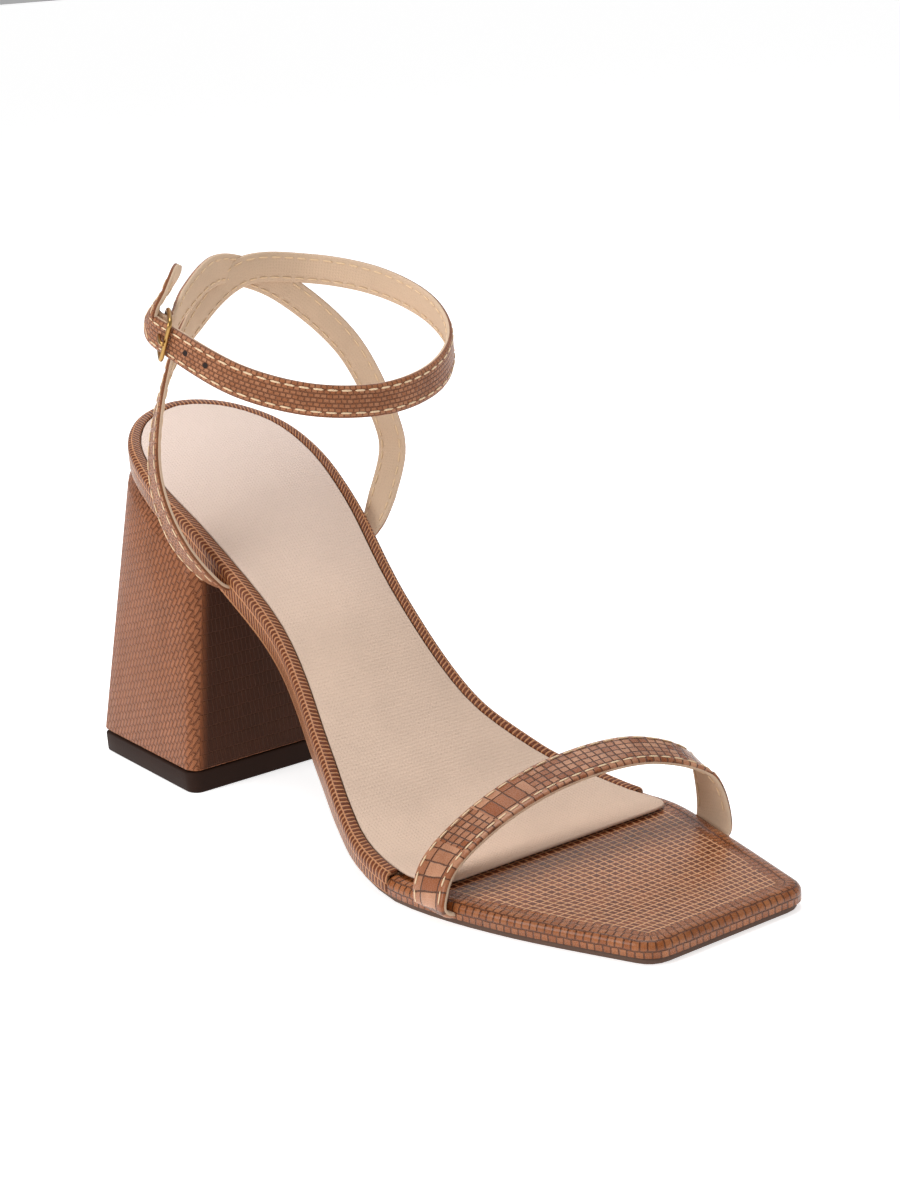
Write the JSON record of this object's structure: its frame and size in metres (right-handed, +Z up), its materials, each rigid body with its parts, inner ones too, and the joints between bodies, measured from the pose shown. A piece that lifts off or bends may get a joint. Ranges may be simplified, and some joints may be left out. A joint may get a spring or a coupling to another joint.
{
  "type": "block heel sandal",
  "caption": "Right-foot tan square-toe sandal with a high flared block heel, one toe strap and crossed ankle straps with a gold buckle.",
  "frame": {"origin": "bottom centre of the bounding box, on the floor that the shoe stands on", "axes": "+Z up, toe towards -Y, heel towards +Y, medial side +X, lateral side with the buckle -X"},
  "size_m": [0.0828, 0.2246, 0.14],
  "materials": {
    "leather": "embossed, semi-gloss",
    "sole": "matte",
    "rubber": "matte",
    "board": "matte fibre board",
    "sock": "matte lining leather",
    "gold": "polished"
  },
  "bodies": {
    "root": {"top_lift": "rubber", "heel_block": "leather", "outsole": "sole", "footbed_board": "board", "rim_wrap": "leather", "toe_cover": "leather", "sock": "sock", "toe_strap": "leather", "ankle_straps": "leather", "buckle_frame": "gold", "buckle_prong": "gold"}
  },
  "joints": []
}
